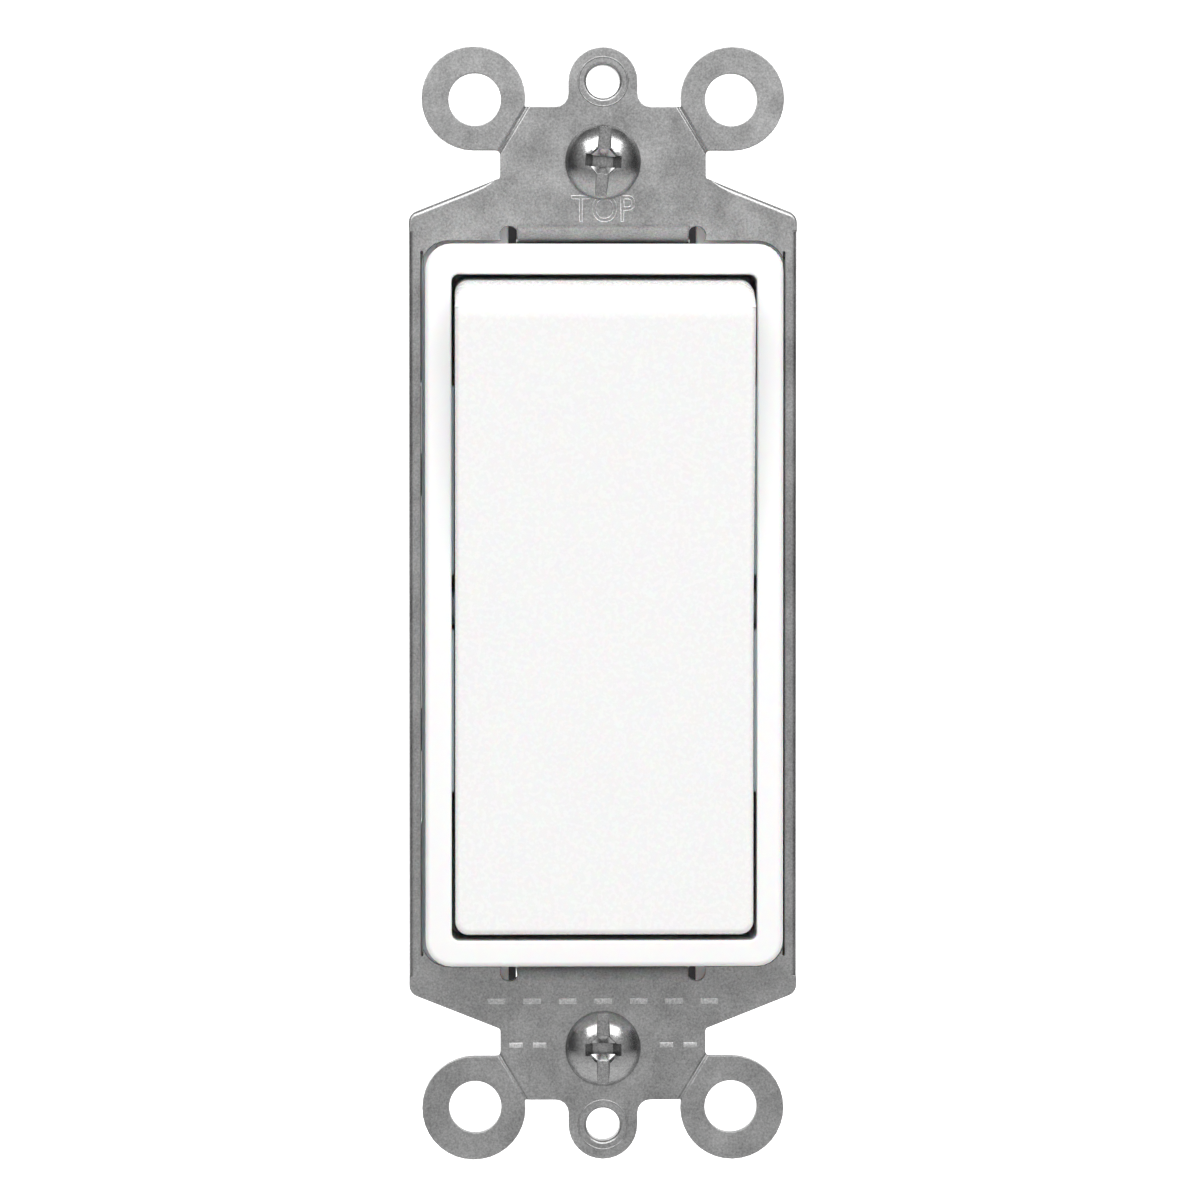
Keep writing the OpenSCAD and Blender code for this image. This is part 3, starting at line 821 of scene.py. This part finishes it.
class SWITCH_OT_terminal_screws(bpy.types.Operator):
    """Make the brass terminal screws and the green ground screw"""
    bl_idname = "switch.terminal_screws"
    bl_label = "Terminal screws"

    def execute(self, context):
        for side in ("line", "load"):
            low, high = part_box(f"{side}_terminal_screw")
            rise = 2.2 * MM
            screw = make_screw(f"{side}_screw", 3.3 * MM, rise, 1.0 * MM, 1.7 * MM, 1.4 * MM,
                               THREAD_R, high.x - low.x - rise)
            place = Vector((high.x - rise, (low.y + high.y) / 2, (low.z + high.z) / 2))
            stand(screw, place, Matrix.Rotation(math.pi / 2, 4, "Y"))
            place_piece(screw, f"{side}_screw", "screw_brass", finish_of("screw_brass"),
                        f"{side}_terminal_screw")
        low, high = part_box("ground_screw")
        rise = 2.0 * MM
        screw = make_screw("ground_screw_green", 3.3 * MM, rise, 1.0 * MM, 1.7 * MM, 1.3 * MM,
                           THREAD_R, high.z - low.z - rise)
        place = Vector(((low.x + high.x) / 2, (low.y + high.y) / 2, low.z + rise))
        stand(screw, place, Matrix.Rotation(math.pi, 4, "X"))
        place_piece(screw, "ground_clamp", "ground_green", finish_of("ground_green"),
                    "ground_screw")
        return {"FINISHED"}


# ---------------------------------------------------------------- body and works


class SWITCH_OT_housing(bpy.types.Operator):
    """Make the rear housing and the pieces that close it"""
    bl_idname = "switch.housing"
    bl_label = "Housing"

    def execute(self, context):
        for node, name, slot, width in (
                ("rear_housing", "housing", "housing_plastic", 0.25),
                ("housing_screws", "case_screws", "screw_zinc", 0.08),
                ("insulating_sheet", "insulator", "fibre", 0.05),
                ("bumper_pads", "bumpers", "pad_rubber", 0.12)):
            piece = copy_of_node(node, name)
            round_edges(piece, width * MM, 2)
            place_piece(piece, "switch_body", slot, finish_of(slot), node)
        return {"FINISHED"}


class SWITCH_OT_works(bpy.types.Operator):
    """Make the carrier, plunger, spring, contacts, terminals and washers"""
    bl_idname = "switch.works"
    bl_label = "Works"

    def execute(self, context):
        rows = (
            ("rocker_carrier", "carrier", "rocker", "black_nylon", 0.15),
            ("plunger", "plunger_nose", "plunger_pin", "acetal", 0.05),
            ("contact_arm", "arm", "contact_lever", "bronze", 0.08),
            ("moving_contact", "contact_rivet", "contact_lever", "contact_silver", 0.06),
            ("fixed_contact", "contact_stud", "switch_body", "contact_silver", 0.06),
            ("line_terminal", "line_plate", "switch_body", "terminal_brass", 0.08),
            ("load_terminal", "load_plate", "switch_body", "terminal_brass", 0.08),
            ("line_clamp_plate", "line_clamp_bar", "line_clamp", "terminal_brass", 0.12),
            ("load_clamp_plate", "load_clamp_bar", "load_clamp", "terminal_brass", 0.12),
            ("ground_clamp_washer", "ground_washer", "ground_clamp", "ground_green", 0.08),
            ("screw_retainer_top", "retainer_top", "top_retainer", "fibre", 0.08),
            ("screw_retainer_bottom", "retainer_bottom", "bottom_retainer", "fibre", 0.08),
        )
        for node, name, body, slot, width in rows:
            piece = copy_of_node(node, name)
            round_edges(piece, width * MM, 2)
            place_piece(piece, body, slot, finish_of(slot), node)
        self.spring()
        return {"FINISHED"}

    def spring(self):
        """The plunger's coil spring, wound along the rocker's own axis."""
        wire, mean, length, turns = 0.22 * MM, 1.12 * MM, 9.2 * MM, 8
        section = [(wire * math.cos(a * math.pi / 6), wire * math.sin(a * math.pi / 6))
                   for a in range(12)]
        coil = helix("coil_spring", mean, length / turns, turns, section, 24)
        level = Matrix.Translation((0, -2.35 * MM, 0)) @ Matrix.Rotation(-math.pi / 2, 4, "X")
        tipped = Matrix.Translation(PIVOT) @ Matrix.Rotation(HALF_TILT, 4, "X")
        coil.data.transform(tipped @ level)
        smooth(coil, 60)
        place_piece(coil, "rocker", "spring_steel", finish_of("spring_steel"), "plunger_spring")


# ---------------------------------------------------------------- stage


def softbox(name, place, target, size, power):
    data = bpy.data.lights.new(name, "AREA")
    data.shape = "RECTANGLE"
    data.size, data.size_y = size
    data.energy = power
    lamp = bpy.data.objects.new(name, data)
    bpy.context.scene.collection.objects.link(lamp)
    lamp.location = place
    lamp.rotation_euler = (Vector(target) - Vector(place)).to_track_quat("-Z", "Y").to_euler()
    return lamp


def plain_surface(name, colour, glow):
    shader = Shader(name)
    shader.set(Base_Color=(*colour, 1), Roughness=0.9, Emission_Color=(1, 1, 1, 1),
               Emission_Strength=glow)
    return shader.material


class SWITCH_OT_stage(bpy.types.Operator):
    """Make the floor, backdrop, softbox, surroundings and camera"""
    bl_idname = "switch.stage"
    bl_label = "Stage"

    def execute(self, context):
        scene = context.scene
        settings = scene.switch_stage
        self.surfaces()
        softbox("overhead_key", (0.01, -0.38, 0.40), (0, 0, 0), (0.9, 0.36), settings.key)
        self.surroundings(scene, settings.room)
        scene.view_settings.view_transform = "Standard"
        self.camera(scene, settings)
        return {"FINISHED"}

    def surfaces(self):
        for name, size, place, turn, glow in (
                ("floor", 3.0, (0, 0, -0.35), 0, 0.0), ("backdrop", 3.0, (0, 0.9, 0.4), 1, 1.0)):
            bpy.ops.mesh.primitive_plane_add(size=size, location=place,
                                             rotation=(turn * math.pi / 2, 0, 0))
            surface = bpy.context.object
            surface.name = name
            apply_place(surface)
            surface.data.materials.append(plain_surface(f"pale_{name}", (0.85, 0.85, 0.85), glow))

    def surroundings(self, scene, room):
        """Light from in front and above, and little from the sides, which darkens round edges."""
        world = bpy.data.worlds.new("surroundings")
        scene.world = world
        world.use_nodes = True
        tree = world.node_tree
        around = tree.nodes.new("ShaderNodeTexCoord").outputs["Generated"]
        facing = tree.nodes.new("ShaderNodeVectorMath")
        facing.operation = "DOT_PRODUCT"
        facing.inputs[1].default_value = (0, -0.93, 0.37)
        tree.links.new(around, facing.inputs[0])
        level = tree.nodes.new("ShaderNodeMapRange")
        level.interpolation_type = "SMOOTHSTEP"
        for socket, value in (("From Min", 0.1), ("From Max", 0.9), ("To Min", 0.12 * room),
                              ("To Max", room)):
            level.inputs[socket].default_value = value
        tree.links.new(facing.outputs["Value"], level.inputs["Value"])
        background = tree.nodes["Background"]
        background.inputs["Color"].default_value = (1, 1, 1, 1)
        tree.links.new(level.outputs["Result"], background.inputs["Strength"])

    def camera(self, scene, settings):
        data = bpy.data.cameras.new("camera")
        data.lens = settings.lens
        data.sensor_width = 36
        camera = bpy.data.objects.new("camera", data)
        scene.collection.objects.link(camera)
        aim = Vector((-0.28 * MM, -STRAP_T, 0.39 * MM))
        side, up = math.radians(-1.5), math.radians(1.5)
        away = Vector((math.sin(side) * math.cos(up), -math.cos(side) * math.cos(up), math.sin(up)))
        camera.location = aim + away * settings.distance
        camera.rotation_euler = (-away).to_track_quat("-Z", "Y").to_euler()
        scene.camera = camera


class SWITCH_PT_parts(bpy.types.Panel):
    """Lists the pieces of the switch"""
    bl_label = "Rocker Switch"
    bl_idname = "SWITCH_PT_parts"
    bl_space_type = "VIEW_3D"
    bl_region_type = "UI"
    bl_category = "Rocker Switch"

    def draw(self, context):
        for group in ("switch_strap", "switch_plastic", "switch_screws", "switch_stage"):
            settings = getattr(context.scene, group)
            box = self.layout.box()
            for key in settings.bl_rna.properties.keys():
                if key not in ("rna_type", "name"):
                    box.prop(settings, key)
        for operator in OPERATORS:
            self.layout.operator(operator.bl_idname)


SETTINGS = {"switch_strap": StrapSettings, "switch_plastic": PlasticSettings,
            "switch_screws": ScrewSettings, "switch_stage": StageSettings}
OPERATORS = (SWITCH_OT_stage, SWITCH_OT_strap, SWITCH_OT_frame, SWITCH_OT_paddle,
             SWITCH_OT_mount_screws, SWITCH_OT_terminal_screws, SWITCH_OT_housing,
             SWITCH_OT_works)


def register():
    for group in (*SETTINGS.values(), *OPERATORS, SWITCH_PT_parts):
        bpy.utils.register_class(group)
    for name, group in SETTINGS.items():
        setattr(bpy.types.Scene, name, bpy.props.PointerProperty(type=group))


def unregister():
    for name in SETTINGS:
        delattr(bpy.types.Scene, name)
    for group in (SWITCH_PT_parts, *reversed(OPERATORS), *SETTINGS.values()):
        bpy.utils.unregister_class(group)


def main():
    register()
    bpy.ops.switch.stage()
    bpy.ops.switch.strap()
    bpy.ops.switch.frame()
    bpy.ops.switch.paddle()
    bpy.ops.switch.mount_screws()
    bpy.ops.switch.terminal_screws()
    bpy.ops.switch.housing()
    bpy.ops.switch.works()


if __name__ == "__main__":
    main()
